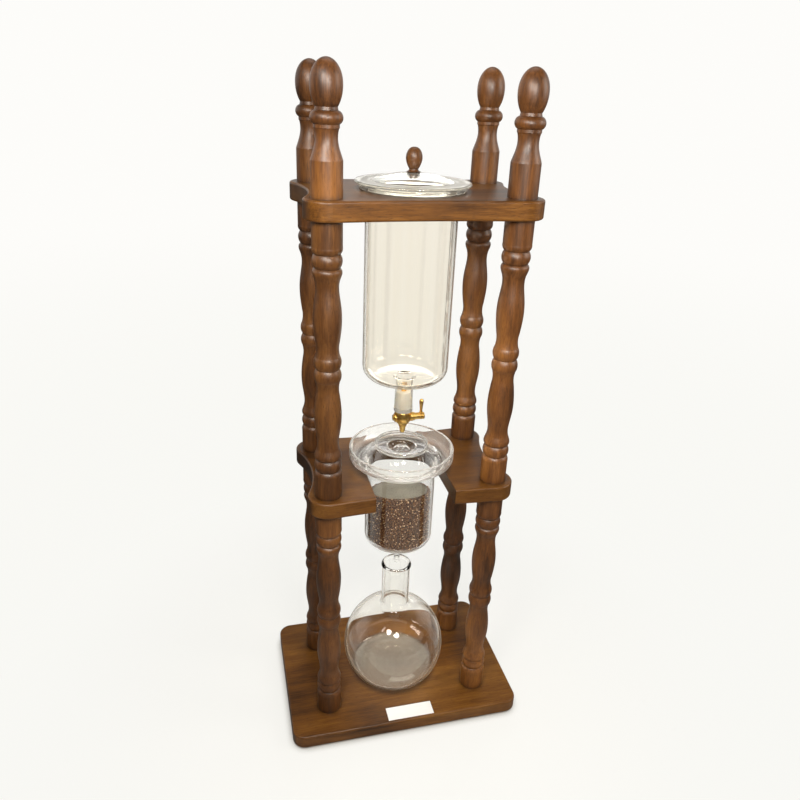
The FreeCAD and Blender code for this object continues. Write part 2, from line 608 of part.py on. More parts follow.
def flask():
    """Round flask: sphere, flat foot with a slight push-up, smooth shoulder, neck and beaded mouth."""
    centre = BASE_TOP + FLASK_CENTRE
    foot_z = BASE_TOP + FLASK_FOOT_R
    foot_r = math.sqrt((FLASK_R - FLASK_FOOT_R) ** 2 - (centre - foot_z) ** 2)
    foot_deg = math.degrees(math.atan2(foot_z - centre, foot_r))
    shoulder_r = FLASK_NECK_R + FLASK_SHOULDER_R
    shoulder_z = centre + math.sqrt((FLASK_R + FLASK_SHOULDER_R) ** 2 - shoulder_r ** 2)
    shoulder_deg = math.degrees(math.atan2(shoulder_z - centre, shoulder_r))
    inner_r = FLASK_R - FLASK_WALL
    bore_r = FLASK_NECK_R - FLASK_WALL
    inner_round = FLASK_FOOT_R - FLASK_WALL
    push_r, push_up = foot_r - 6, 0.8

    def push(radius, apex):
        return (radius, cap_height(radius, apex, push_up, push_r))

    under = BASE_TOP + push_up
    inside = under + FLASK_WALL
    return turned(
        (0, under), [push(push_r / 2, under), push(push_r, under)],
        [(foot_r, BASE_TOP)], sweep(foot_r, foot_z, FLASK_FOOT_R, -90, foot_deg),
        sweep(0, centre, FLASK_R, foot_deg, shoulder_deg),
        sweep(shoulder_r, shoulder_z, FLASK_SHOULDER_R, shoulder_deg + 180, 180),
        [(FLASK_NECK_R, FLASK_TOP - 6.4)],
        [(FLASK_LIP_R, FLASK_TOP - 2.8), (FLASK_LIP_R - 1.6, FLASK_TOP)],
        [(bore_r + 1.2, FLASK_TOP)], sweep(bore_r + 1.2, FLASK_TOP - 1.2, 1.2, 90, 180),
        [(bore_r, shoulder_z)],
        sweep(shoulder_r, shoulder_z, FLASK_SHOULDER_R + FLASK_WALL, 180, shoulder_deg + 180),
        sweep(0, centre, inner_r, shoulder_deg, foot_deg),
        sweep(foot_r, foot_z, inner_round, foot_deg, -90),
        [push(push_r, inside)], [push(push_r / 2, inside), (0, inside)],
    )


os.makedirs("parts", exist_ok=True)

export(base_plate(), "base_plate")
export(mid_plate(), "mid_plate")
export(top_plate(), "top_plate")
place_posts()

export(group([stud(x, y, MID_BOTTOM) for x, y in post_places()]), "mid_studs")
export(group([stud(x, y, TOP_BOTTOM) for x, y in post_places()]), "top_studs")
export(group([base_screw(x, y) for x, y in post_places()]), "base_screws")
export(group([base_washer(x, y) for x, y in post_places()]), "base_washers")
export(group([foot_pad(x, y) for x, y in post_places(PAD_X, PAD_Y)]), "base_feet")

export(tank_glass(), "tank_glass")
export(tank_lid(), "tank_lid")
export(lid_knob(), "lid_knob")
export(knob_screw(), "knob_screw")
export(group(knob_seals()), "knob_washers")

export(outlet_bung(), "outlet_bung")
export(tap_body(), "tap_body")
export(tap_plug(), "tap_plug")
export(tap_lever(), "tap_lever")
export(plug_washer(), "plug_washer")
export(plug_nut(), "plug_nut")

export(coffee_chamber(), "coffee_chamber")
export(lower_filter(), "lower_filter")
export(coffee_grounds(), "coffee_grounds")
export(filter_paper(), "filter_paper")
export(water_spreader(), "water_spreader")
export(flask(), "flask")
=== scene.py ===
import math

import bmesh
import bpy
from mathutils import Matrix, Vector, noise


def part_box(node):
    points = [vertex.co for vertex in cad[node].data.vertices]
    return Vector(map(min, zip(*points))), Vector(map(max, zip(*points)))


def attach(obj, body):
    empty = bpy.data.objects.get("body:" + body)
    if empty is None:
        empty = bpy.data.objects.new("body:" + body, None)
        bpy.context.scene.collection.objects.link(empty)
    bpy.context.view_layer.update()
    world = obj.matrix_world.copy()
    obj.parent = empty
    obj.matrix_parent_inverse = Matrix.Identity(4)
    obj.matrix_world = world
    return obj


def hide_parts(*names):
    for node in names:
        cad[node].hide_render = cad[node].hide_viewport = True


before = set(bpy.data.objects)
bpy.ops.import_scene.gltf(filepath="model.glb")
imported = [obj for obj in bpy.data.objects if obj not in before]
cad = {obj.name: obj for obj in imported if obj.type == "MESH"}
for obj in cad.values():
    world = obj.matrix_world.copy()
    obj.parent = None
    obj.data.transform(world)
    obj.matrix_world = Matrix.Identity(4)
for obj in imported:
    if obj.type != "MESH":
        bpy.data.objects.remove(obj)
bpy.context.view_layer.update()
scene = bpy.context.scene
scene.view_settings.view_transform = "Standard"


# ---- Camera ----
# Stands in front of the tower, a step to its left and level with its finials, and looks down on it
# with the head tilted a little.
eye = Vector((-0.2023, -0.7410, 0.7858))
yaw, pitch, roll = (math.radians(angle) for angle in (14.953, 24.556, 2.3945))
picture_px, focal_px = 800, 703.7

ahead = Vector((math.sin(yaw) * math.cos(pitch), math.cos(yaw) * math.cos(pitch), -math.sin(pitch)))
level = Vector((math.cos(yaw), -math.sin(yaw), 0))
above = level.cross(ahead)
right = math.cos(roll) * level + math.sin(roll) * above
upright = math.cos(roll) * above - math.sin(roll) * level

camera = bpy.data.objects.new("camera", bpy.data.cameras.new("camera"))
scene.collection.objects.link(camera)
camera.matrix_world = Matrix.Translation(eye) @ Matrix((right, upright, -ahead)).transposed().to_4x4()
camera.data.sensor_width = 36
camera.data.lens = camera.data.sensor_width * focal_px / picture_px
camera.data.clip_end = 60
scene.camera = camera


# ---- Light tent ----
# A seamless pale floor runs up into a white wall round the tower. Two small lamps and two soft boxes light
# it from the front, one box from above, and one from behind, which lacquer and glass don't mirror. The room
# over the wall is dim, so that lacquer and brass keep their colour.
MM = 0.001


def feed(tree, node, inputs):
    """Gives each input of a node a number, a colour, or the output that feeds it."""
    for key, value in inputs.items():
        if isinstance(value, bpy.types.NodeSocket):
            tree.links.new(value, node.inputs[key])
        else:
            node.inputs[key].default_value = value


def add(tree, kind, inputs=None, **settings):
    """Adds a node and feeds its inputs. A short name stands for a shader node."""
    made = tree.nodes.new(kind if "Node" in kind else "ShaderNode" + kind)
    for name, value in settings.items():
        setattr(made, name, value)
    feed(tree, made, inputs or {})
    return made


def calc(tree, operation, *values, clamp=False):
    """The result of a Math node on numbers or outputs."""
    return add(tree, "Math", dict(enumerate(values)), operation=operation, use_clamp=clamp).outputs[0]


def blend_colours(tree, share, first, second, kind="MIX"):
    """Mixes two colours by a share from 0 to 1."""
    mixed = add(tree, "Mix", {0: share, 6: first, 7: second}, data_type="RGBA", blend_type=kind)
    return mixed.outputs[2]


def fade(tree, value, start, end, low=0.0, high=1.0):
    """Eases from low to high as the value goes from start to end."""
    inputs = {"Value": value, "From Min": start, "From Max": end, "To Min": low, "To Max": high}
    return add(tree, "MapRange", inputs, interpolation_type="SMOOTHSTEP").outputs[0]


def openness(tree, reach, samples):
    """How open the surface lies, from 0 in a deep groove to 1."""
    return add(tree, "AmbientOcclusion", {"Distance": reach}, samples=samples).outputs["AO"]


def plainly_seen(tree, ray):
    """Is 1 for what the camera sees directly, in a mirror or through glass, and 0 for light on the way
    to a matt surface."""
    seen = calc(tree, "MAXIMUM", calc(tree, "MAXIMUM", ray["Is Camera Ray"], ray["Is Glossy Ray"]),
                ray["Is Transmission Ray"])
    return calc(tree, "MULTIPLY", seen, calc(tree, "LESS_THAN", ray["Diffuse Depth"], 0.5))


tent_white = (0.983, 0.975, 0.950, 1)
room_fill, fill_strength = (1.0, 0.97, 0.92, 1), 0.14
room_dim = (0.045, 0.036, 0.028, 1)
edge_dim = (0.36, 0.31, 0.24, 1)
wall_sides, wall_top = (-0.10, 0.30), (0.60, 0.48)
wide_wall_sides, wide_wall_top = (-0.35, 0.15), (0.67, 0.56)

world = bpy.data.worlds.new("tent")
scene.world = world
world.use_nodes = True
sky = world.node_tree
sky.nodes.clear()
ray = add(sky, "LightPath").outputs
way = add(sky, "SeparateXYZ", {0: add(sky, "TexCoord").outputs["Generated"]}).outputs

# What lacquer and brass mirror: the white wall behind the tower, up to its top edge, and the dim room.
wall = calc(sky, "MULTIPLY", fade(sky, way["Y"], *wall_sides), fade(sky, way["Z"], *wall_top))
mirrored = blend_colours(sky, wall, room_dim, tent_white)
# What glass shows: the white wall all round, but the dim room where light is turned back inside its edges.
wide_wall = calc(sky, "MULTIPLY", fade(sky, way["Y"], *wide_wall_sides),
                 fade(sky, way["Z"], *wide_wall_top))
turned_back = calc(sky, "GREATER_THAN", ray["Glossy Depth"], 0.5)
turned_back = calc(sky, "MULTIPLY", turned_back, calc(sky, "SUBTRACT", 1.0, wide_wall))
through = blend_colours(sky, turned_back, tent_white, edge_dim)

shown = blend_colours(sky, ray["Is Glossy Ray"], tent_white, mirrored)
shown = blend_colours(sky, ray["Is Transmission Ray"], shown, through)
backdrop = add(sky, "Background", {"Color": shown, "Strength": 1.0})
lighting = add(sky, "Background", {"Color": room_fill, "Strength": fill_strength})
tent = add(sky, "MixShader", {0: plainly_seen(sky, ray), 1: lighting.outputs[0], 2: backdrop.outputs[0]})
add(sky, "OutputWorld", {"Surface": tent.outputs[0]})

half_floor = 9.0
corners = [(x * half_floor, y * half_floor, 0) for x, y in ((-1, -1), (1, -1), (1, 1), (-1, 1))]
floor_mesh = bpy.data.meshes.new("floor")
floor_mesh.from_pydata(corners, [], [(0, 1, 2, 3)])
floor = bpy.data.objects.new("floor", floor_mesh)
scene.collection.objects.link(floor)

# The floor takes the tower's shadow close by, and further out it turns into the white of the wall.
floor_white = (0.945, 0.941, 0.905, 1)
painted_shadow_tone, painted_shadow_reach = (0.10, 0.07, 0.045, 1), 14 * MM
whitening = (0.6, 3.5)
shadow_fades = (0.10, 0.55)

paper_floor = bpy.data.materials.new("paper_floor")
paper_floor.use_nodes = True
tree = paper_floor.node_tree
tree.nodes.clear()
ray = add(tree, "LightPath").outputs
place = add(tree, "TexCoord").outputs["Object"]
distance = add(tree, "VectorMath", {0: place}, operation="LENGTH").outputs["Value"]
far_tone = blend_colours(tree, fade(tree, distance, *whitening), floor_white, tent_white)
mirror_only = calc(tree, "SUBTRACT", ray["Is Glossy Ray"], ray["Is Transmission Ray"], clamp=True)
far_tone = blend_colours(tree, calc(tree, "MULTIPLY", mirror_only, 0.96), far_tone, room_dim)
# Painted shadow: the glow turns brown where parts of the tower stand close to the floor.
painted_contact_shadow = fade(tree, openness(tree, painted_shadow_reach, 8), 0.15, 0.9)
far_tone = blend_colours(tree, painted_contact_shadow, painted_shadow_tone, far_tone)
bright = add(tree, "Emission", {"Color": far_tone})
matt = add(tree, "BsdfDiffuse", {"Color": floor_white})
faded = calc(tree, "MULTIPLY", fade(tree, distance, *shadow_fades, 0.75, 1.0), plainly_seen(tree, ray))
mixed = add(tree, "MixShader", {0: faded, 1: matt.outputs[0], 2: bright.outputs[0]})
add(tree, "OutputMaterial", {"Surface": mixed.outputs[0]})
floor_mesh.materials.append(paper_floor)


def soft_box(name, place, target, width, height, watts, colour=(1, 1, 1), outline="RECTANGLE"):
    """An area lamp that faces its target, and that the camera doesn't see."""
    lamp = bpy.data.lights.new(name, "AREA")
    lamp.shape = outline
    lamp.size, lamp.size_y = width, height
    lamp.energy = watts
    lamp.color = colour
    box = bpy.data.objects.new(name, lamp)
    scene.collection.objects.link(box)
    turn = (Vector(target) - Vector(place)).to_track_quat("-Z", "Y")
    box.matrix_world = Matrix.Translation(place) @ turn.to_matrix().to_4x4()
    box.visible_camera = False
    return box


warm_white = (1, 0.95, 0.88)
lamp_size = 0.21
soft_box("left_lamp", (-0.32, -0.50, 0.95), (0, 0, 0.30), lamp_size, lamp_size, 3.8, warm_white, "ELLIPSE")
soft_box("right_lamp", (-0.04, -0.69, 0.88), (0, 0, 0.25), lamp_size, lamp_size, 5.1, warm_white, "ELLIPSE")
soft_box("left_box", (-0.62, -0.30, 1.12), (-0.1, -0.05, 0.72), 0.25, 0.25, 1.0, warm_white)
soft_box("right_box", (1.05, -0.38, 0.98), (0.1, 0, 0.50), 0.5, 0.7, 6.0, warm_white)
back_box = soft_box("back_box", (0.7, 1.6, 0.85), (0, 0, 0.5), 1.0, 0.6, 7)
back_box.visible_glossy = False
soft_box("top_box", (0.1, 0.35, 1.75), (0, 0, 0.4), 0.9, 0.7, 3)


# ---- Base board ----
# The board that everything stands on: stained hardwood, its edges rounded over, under satin lacquer.
# The grain runs along its length, with open pores. Painted shade darkens its corners and recess, where some
# stain also gathered.
def new_finish(name):
    """A new material, its node tree, its shader, and the place on the piece that patterns start from."""
    material = bpy.data.materials.new(name)
    material.use_nodes = True
    tree = material.node_tree
    return material, tree, tree.nodes["Principled BSDF"], add(tree, "TexCoord").outputs["Object"]


def cloud(tree, place, scale, detail=2.0, rough=0.5, **more):
    """Noise over a place, as many clouds to a metre as its scale."""
    inputs = {"Vector": place, "Scale": scale, "Detail": detail, "Roughness": rough, **more}
    return add(tree, "TexNoise", inputs).outputs[0]


def stretched(tree, place, scale):
    """The place, scaled along X, Y and Z."""
    return add(tree, "Mapping", {"Vector": place, "Scale": scale}).outputs[0]


def relief(tree, height, strength, depth):
    """The normal of a surface that this height makes uneven."""
    return add(tree, "Bump", {"Height": height, "Strength": strength, "Distance": depth}).outputs[0]


def shade_stops(tree, value, stops):
    """A colour ramp over a value, from (position, colour) stops."""
    shades = add(tree, "ValToRGB", {0: value})
    places = shades.color_ramp.elements
    while len(places) < len(stops):
        places.new(0.5)
    for element, (position, colour) in zip(places, stops):
        element.position = position
        element.color = (*colour, 1)
    return shades.outputs[0]


def dimmed(tree, colour, share):
    """A colour times a share."""
    grey = add(tree, "CombineColor", {0: share, 1: share, 2: share}).outputs[0]
    return blend_colours(tree, 1.0, colour, grey, "MULTIPLY")


def stained_wood(name, grain, tones, sheen=0.58, end_stain=1.0):
    """Lacquered wood whose grain runs along X or Z: long soft streaks, fine fibres and short open pores.
    Grooves are darker with painted shade, where some stain also gathers. End grain drinks the stain, and is
    darker the more end_stain is under 1."""
    material, tree, shader, place = new_finish(name)

    def along_grain(times):
        """The place, drawn out this many times along the grain."""
        return stretched(tree, place, (1 / times, 1, 1) if grain == "X" else (1, 1, 1 / times))

    streak = cloud(tree, along_grain(8), 90, 3, 0.6)
    fibre = cloud(tree, along_grain(18), 620, 3, 0.7)
    blotch = cloud(tree, along_grain(1.8), 11, 2, 0.5)
    pore = fade(tree, cloud(tree, along_grain(12), 1250, 2, 0.6), 0.56, 0.68)

    tone = calc(tree, "MULTIPLY", streak, 0.34)
    for part, share in ((fibre, 0.36), (blotch, 0.64)):
        tone = calc(tree, "MULTIPLY_ADD", part, share, tone)
    deep, middle, pale = tones
    colour = shade_stops(tree, tone, [(0.50, deep), (0.67, middle), (0.86, pale)])
    colour = blend_colours(tree, calc(tree, "MULTIPLY", pore, 0.55), colour, (*deep, 1))

    # Painted shade: the colour darkens in grooves and corners, where little light reaches.
    painted_groove_shade = fade(tree, openness(tree, 9 * MM, 8), 0.25, 0.97, 0.25, 1.0)
    facing = add(tree, "SeparateXYZ", {0: add(tree, "TexCoord").outputs["Normal"]}).outputs[grain]
    end_grain = fade(tree, calc(tree, "ABSOLUTE", facing), 0.70, 0.98, 1.0, end_stain)
    pits = calc(tree, "SUBTRACT", calc(tree, "MULTIPLY", fibre, 0.6), calc(tree, "MULTIPLY", pore, 0.5))
    feed(tree, shader, {
        "Base Color": dimmed(tree, colour, calc(tree, "MULTIPLY", painted_groove_shade, end_grain)),
        "Roughness": calc(tree, "MULTIPLY_ADD", fibre, 0.16, 0.33),
        "Normal": relief(tree, pits, 0.25, 0.2 * MM),
        "Specular IOR Level": sheen,
    })
    return material


def finish(material, *names):
    """Gives one material to CAD nodes or new pieces."""
    for name in names:
        mesh = (cad.get(name) or bpy.data.objects[name]).data
        mesh.materials.clear()
        mesh.materials.append(material)


board_tones = ((0.037, 0.0128, 0.0020), (0.124, 0.0462, 0.0058), (0.232, 0.099, 0.016))
board_sheen, board_end_stain = 0.40, 0.42
board = stained_wood("stained_board", "X", board_tones, board_sheen, board_end_stain)
finish(board, "base_plate")


# ---- Feet ----
# Four black rubber pads. They are pushed into recesses in the underside of the base, and keep it off the
# table.
def plain_finish(name, colour, rough, metallic=0.0, grain_size=0.8 * MM, grain_depth=0.02 * MM):
    """A material with a fine all-over grain in its relief, and soft smears in its colour and gloss."""
    material, tree, shader, place = new_finish(name)
    smear = cloud(tree, place, 60)
    dark = tuple(0.86 * part for part in colour)
    feed(tree, shader, {
        "Base Color": blend_colours(tree, smear, (*dark, 1), (*colour, 1)),
        "Roughness": calc(tree, "MULTIPLY_ADD", smear, 0.4 * rough, 0.8 * rough),
        "Normal": relief(tree, cloud(tree, place, 1 / grain_size, 3.0), 0.3, grain_depth),
        "Metallic": metallic,
    })
    return material


finish(plain_finish("foot_rubber", (0.022, 0.021, 0.020), 0.75), "base_feet")


# ---- Label plate ----
# A blank plate of white enamelled aluminium, set flush in the shallow recess at the front of the base.
# Its corners are rounded and its upper edge is bevelled bright.
recess_x, recess_front, recess_floor = 3 * MM, -100.5 * MM, 19 * MM
recess_width, recess_depth = 62 * MM, 21 * MM
plate_gap, plate_t = 0.2 * MM, 0.75 * MM
corner_r, bevel_width = 0.6 * MM, 0.22 * MM
same_height = 0.01 * MM

plate_low = Vector((recess_x - recess_width / 2 + plate_gap, recess_front + plate_gap, recess_floor))
plate_high = Vector((recess_x + recess_width / 2 - plate_gap, recess_front + recess_depth - plate_gap,
                     recess_floor + plate_t))
shape = bmesh.new()
bmesh.ops.create_cube(shape, size=1)
bmesh.ops.scale(shape, vec=plate_high - plate_low, verts=shape.verts)
bmesh.ops.translate(shape, vec=(plate_low + plate_high) / 2, verts=shape.verts)
upright_edges = [e for e in shape.edges if abs(e.verts[0].co.z - e.verts[1].co.z) > bevel_width]
bmesh.ops.bevel(shape, geom=upright_edges, offset=corner_r, segments=4, affect="EDGES", profile=0.5)
rim = [e for e in shape.edges if all(v.co.z > plate_high.z - same_height for v in e.verts)
       and len(e.link_faces) == 2 and any(abs(f.normal.z) < 0.5 for f in e.link_faces)]
bmesh.ops.bevel(shape, geom=rim, offset=bevel_width, segments=2, affect="EDGES", profile=0.5)
label_mesh = bpy.data.meshes.new("label_plate")
shape.to_mesh(label_mesh)
shape.free()
label = bpy.data.objects.new("label_plate", label_mesh)
scene.collection.objects.link(label)

enamel, tree, shader, place = new_finish("white_enamel")
brushing = cloud(tree, stretched(tree, place, (40, 3000, 40)), 1.0, 3.0)
height = add(tree, "SeparateXYZ", {0: place}).outputs["Z"]
bare = fade(tree, height, plate_high.z - 0.12 * MM, plate_high.z - 0.02 * MM, 1.0, 0.0)
white = blend_colours(tree, brushing, (0.84, 0.845, 0.835, 1), (0.91, 0.915, 0.905, 1))
feed(tree, shader, {
    "Base Color": blend_colours(tree, bare, white, (0.72, 0.71, 0.69, 1)),
    "Metallic": bare,
    "Roughness": calc(tree, "MULTIPLY_ADD", brushing, 0.15, 0.22),
})
finish(enamel, "label_plate")
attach(label, "frame")


# ---- Screws, washers and studs ----
# Zinc-plated steel. The screws and washers sit in the counterbores under the base, the studs are hidden
# in the posts, and one more screw holds the knob of the lid.
zinc = plain_finish("zinc_plate", (0.60, 0.60, 0.59), 0.34, metallic=1.0)
finish(zinc, "base_screws", "base_washers", "mid_studs", "top_studs", "knob_screw")


# ---- Posts ----
# Turned hardwood in three lengths to each post: two spindles with vases and beads, and a finial on top.
# Painted shade darkens the grooves, where some stain also gathered. Each length is the turned wood made
# lighter or darker, painted light and shade for how the lamps reach it.
def scaled_tones(tones, depth):
    """The tones times this depth: under 1 is darker, over 1 is lighter."""
    return [tuple(depth * part for part in tone) for tone in tones]


turned_tones = ((0.030, 0.0100, 0.0020), (0.116, 0.0410, 0.0076), (0.242, 0.097, 0.020))
# Painted light and shade: each length is the turned wood lit or shaded by how the lamps reach it.
painted_light_depths = {"fl": (0.92, 0.66, 1.10), "fr": (1.20, 1.24, 1.12),
                "bl": (0.92, 0.95, 1.00), "br": (0.90, 0.98, 1.10)}
for corner, depths in painted_light_depths.items():
    for length, depth in zip(("lower_spindle_", "upper_spindle_", "finial_"), depths):
        post_wood = stained_wood("turned_wood_" + length + corner, "Z", scaled_tones(turned_tones, depth))
        finish(post_wood, length + corner)


# ---- Middle and top boards ----
# Lobed boards of the same stained hardwood, the middle one a little darker. The middle one has the slot for
# the coffee chamber, the top one the round seat for the tank.
middle_board = stained_wood("stained_middle_board", "X", scaled_tones(board_tones, 0.86), board_sheen,
                            board_end_stain)
finish(middle_board, "mid_plate")
finish(board, "top_plate")


# ---- Water tank ----
# A blown borosilicate cylinder with a flange, a rounded bottom and an outlet neck. It is clear, with the
# faint upright draw lines of glass tube.
def clear_glass(name, tint, wave_depth, painted_reflection_tone, painted_rim_reflection, line_depth=0.0, painted_inner_reflection=0.0, painted_milk=0.0,
                painted_milk_span=(-20 * MM, -10 * MM)):
    """Solid glass with draw lines and slow waves in its surface. Its edges and slanted faces carry a
    painted reflection of the pale tent, a thin lit film, and so do inner faces that turn light back. A
    milky film of painted reflection can also grow over a span of heights. Lamps shine through."""
    material, tree, shader, place = new_finish(name)
    glass_ior = 1.47
    lines = cloud(tree, stretched(tree, place, (1, 1, 0.02)), 120)
    waves = cloud(tree, place, 22, 1.0)
    waviness = calc(tree, "MULTIPLY_ADD", waves, wave_depth, calc(tree, "MULTIPLY", lines, line_depth))
    normal = relief(tree, waviness, 1.0, 1.0)
    deeper = tuple(part ** 1.6 for part in tint)
    feed(tree, shader, {
        "Base Color": blend_colours(tree, lines, (*deeper, 1), (*tint, 1)),
        "Normal": normal,
        "Transmission Weight": 1.0,
        "Roughness": 0.0,
        "IOR": glass_ior,
    })

    # Painted reflection: a pale lit film on rims, slanted and inner faces stands for the mirrored tent.
    slant = add(tree, "Fresnel", {"IOR": glass_ior, "Normal": normal}).outputs[0]
    outside = calc(tree, "SUBTRACT", 1.0, add(tree, "NewGeometry").outputs["Backfacing"])
    height = add(tree, "SeparateXYZ", {0: place}).outputs["Z"]
    mottle = fade(tree, cloud(tree, place, 170, 3.0), 0.36, 0.64, 0.70, 1.0)
    # Painted reflection: a milky film over a span of heights.
    painted_milk_share = calc(tree, "MULTIPLY", fade(tree, height, *painted_milk_span, 0.0, painted_milk), mottle)
    rim = fade(tree, slant, 0.08, 0.60, 0.0, painted_rim_reflection)
    outer = calc(tree, "MULTIPLY", calc(tree, "MAXIMUM", rim, painted_milk_share), outside)
    turned_in = calc(tree, "MULTIPLY", calc(tree, "GREATER_THAN", slant, 0.98), painted_inner_reflection)
    share = calc(tree, "MULTIPLY_ADD", turned_in, calc(tree, "SUBTRACT", 1.0, outside), outer)
    film = add(tree, "BsdfDiffuse", {"Color": (*painted_reflection_tone, 1)})
    glazed = add(tree, "MixShader", {0: share, 1: shader.outputs[0], 2: film.outputs[0]})
    lit_through = add(tree, "BsdfTransparent", {"Color": (0.96, 0.96, 0.955, 1)})
    lamp_ray = add(tree, "LightPath").outputs["Is Shadow Ray"]
    mixed = add(tree, "MixShader", {0: lamp_ray, 1: glazed.outputs[0], 2: lit_through.outputs[0]})
    feed(tree, tree.nodes["Material Output"], {"Surface": mixed.outputs[0]})
    return material


tank_glass = clear_glass("tank_tube_glass", tint=(0.978, 0.955, 0.905), wave_depth=0.2 * MM,
                         painted_reflection_tone=(0.62, 0.60, 0.54), painted_rim_reflection=0.65, line_depth=0.06 * MM, painted_inner_reflection=0.06)
finish(tank_glass, "tank_glass")


# ---- Bung and tap ----
# A milky silicone bung holds a small tap of polished brass in the neck. Its plug turns in the body and
# carries a drop-shaped lever.
silicone, tree, shader, place = new_finish("milky_silicone")
cloudy = cloud(tree, place, 180, 3.0)
feed(tree, shader, {
    "Base Color": blend_colours(tree, cloudy, (0.60, 0.57, 0.50, 1), (0.72, 0.70, 0.64, 1)),
    "Roughness": calc(tree, "MULTIPLY_ADD", cloudy, 0.2, 0.32),
    "Transmission Weight": 0.5,
    "Subsurface Weight": 0.6,
    "Subsurface Radius": (3 * MM, 2.6 * MM, 2 * MM),
    "IOR": 1.41,
})
finish(silicone, "outlet_bung")

# Bright brass, a little browner where fingers and the buff don't reach, with fine wipe marks.
brass, tree, shader, place = new_finish("polished_brass")
tarnish = cloud(tree, place, 190, 4.0, 0.6)
wipe = cloud(tree, stretched(tree, place, (1, 1, 8)), 1300)
colour = shade_stops(tree, tarnish, [(0.30, (0.70, 0.36, 0.08)), (0.50, (0.97, 0.62, 0.17)),
                                     (0.72, (1.0, 0.78, 0.34))])
feed(tree, shader, {
    "Base Color": dimmed(tree, colour, fade(tree, openness(tree, 2 * MM, 6), 0.2, 0.9, 0.5, 1.0)),
    "Roughness": calc(tree, "MULTIPLY_ADD", tarnish, 0.26, 0.18),
    "Normal": relief(tree, wipe, 0.12, 0.03 * MM),
    "Metallic": 1.0,
})
finish(brass, "tap_body", "tap_plug", "tap_lever", "plug_nut", "plug_washer")


# ---- Lid and knob ----
# A shallow pressed-glass dome that drops into the tank's mouth. A wooden knob is screwed to it from
# below, between two dark silicone washers.
# The lid carries a faint milky film of painted reflection all over, and painted reflection on its rims.
lid_glass = clear_glass("lid_glass", tint=(0.976, 0.972, 0.940), wave_depth=0.4 * MM,
                        painted_reflection_tone=(0.60, 0.585, 0.53), painted_rim_reflection=0.5, painted_inner_reflection=0.13, painted_milk=0.10)
finish(lid_glass, "tank_lid")
finish(stained_wood("turned_wood_knob", "Z", scaled_tones(turned_tones, 0.84)), "lid_knob")
finish(plain_finish("dark_silicone", (0.045, 0.036, 0.028), 0.5), "knob_washers")


# ---- Coffee chamber ----
# One blown piece of clear glass: a bowl that rests on the middle board, a straight chamber and a spout.
# The bowl carries a milky film of painted reflection.
bowl_glass = clear_glass("bowl_glass", tint=(0.975, 0.975, 0.968), wave_depth=0.5 * MM,
                         painted_reflection_tone=(0.92, 0.90, 0.86), painted_rim_reflection=0.85, line_depth=0.02 * MM, painted_inner_reflection=0.22,
                         painted_milk=0.21, painted_milk_span=(352 * MM, 358 * MM))
finish(bowl_glass, "coffee_chamber")


# ---- Lower filter ----
# A thin cream disc of fired porous ceramic. It lies on the chamber's floor, under the coffee, and keeps
# the grounds out of the spout.
finish(plain_finish("porous_ceramic", (0.80, 0.77, 0.70), 0.8, grain_size=0.5 * MM, grain_depth=0.1 * MM),
       "lower_filter")


# ---- Coffee bed ----
# Coarse ground coffee, settled against the glass, with a top that slopes down to the back. A rough core
# is covered all over with separate grains, each of its own size, turn and roast.
def lathe(name, outline, steps):
    """A solid turned about the Z axis. Its (radius, height) points run from the axis below to the axis
    above."""
    shape = bmesh.new()
    rings = []
    on_axis = 0.001 * MM
    for radius, height in outline:
        if radius < on_axis:
            rings.append([shape.verts.new((0, 0, height))] * steps)
            continue
        turns = [math.tau * i / steps for i in range(steps)]
        rings.append([shape.verts.new((radius * math.cos(t), radius * math.sin(t), height)) for t in turns])
    for low, high in zip(rings, rings[1:]):
        for i in range(steps):
            j = (i + 1) % steps
            corners = [low[i], low[j], high[j], high[i]]
            kept = [v for n, v in enumerate(corners) if v not in corners[:n]]
            shape.faces.new(kept)
    mesh = bpy.data.meshes.new(name)
    shape.normal_update()
    shape.to_mesh(mesh)
    shape.free()
    made = bpy.data.objects.new(name, mesh)
    scene.collection.objects.link(made)
    return made


grain_room = 0.7 * MM
lump_share, lumps_per_metre = 0.006, 700
bed_steps = 120
bed_low, bed_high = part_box("coffee_grounds")
bed_r = bed_high.x - grain_room
bed_foot = bed_low.z + grain_room
bed_top = bed_high.z - 0.9 * MM
bed_round, round_steps = 9 * MM, 6
bed_slope = 0.22
side_foot = bed_foot + bed_round
side_layers = 26
filter_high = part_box("lower_filter")[1]
filter_r = filter_high.x + 0.5 * MM
over_filter = filter_high.z + 0.5 * MM

outline = [(share * filter_r, over_filter) for share in (0, 0.5, 1)]
for step in range(round_steps + 1):
    turn = -math.pi / 2 + math.pi / 2 * step / round_steps
    outline.append((bed_r - bed_round + bed_round * math.cos(turn),
                    bed_foot + bed_round + bed_round * math.sin(turn)))
for step in range(1, side_layers + 1):
    outline.append((bed_r, side_foot + (bed_top - 1.5 * MM - side_foot) * step / side_layers))
outline += [(bed_r - 0.5 * MM, bed_top - 0.4 * MM), (bed_r - 1.6 * MM, bed_top)]
outline += [(bed_r * share, bed_top) for share in (0.85, 0.6, 0.3, 0)]
bed = lathe("coffee_bed", outline, bed_steps)


def settled(height, depth):
    """Height of a point of the bed, which has run down towards the back of the chamber."""
    share = min(max((height - side_foot) / (bed_top - side_foot), 0), 1)
    return height - share * bed_slope * (depth + bed_r)


for vertex in bed.data.vertices:
    if vertex.co.xy.length > filter_r:
        vertex.co *= 1 - lump_share * noise.noise(vertex.co * lumps_per_metre)
    vertex.co.z = settled(vertex.co.z, vertex.co.y)

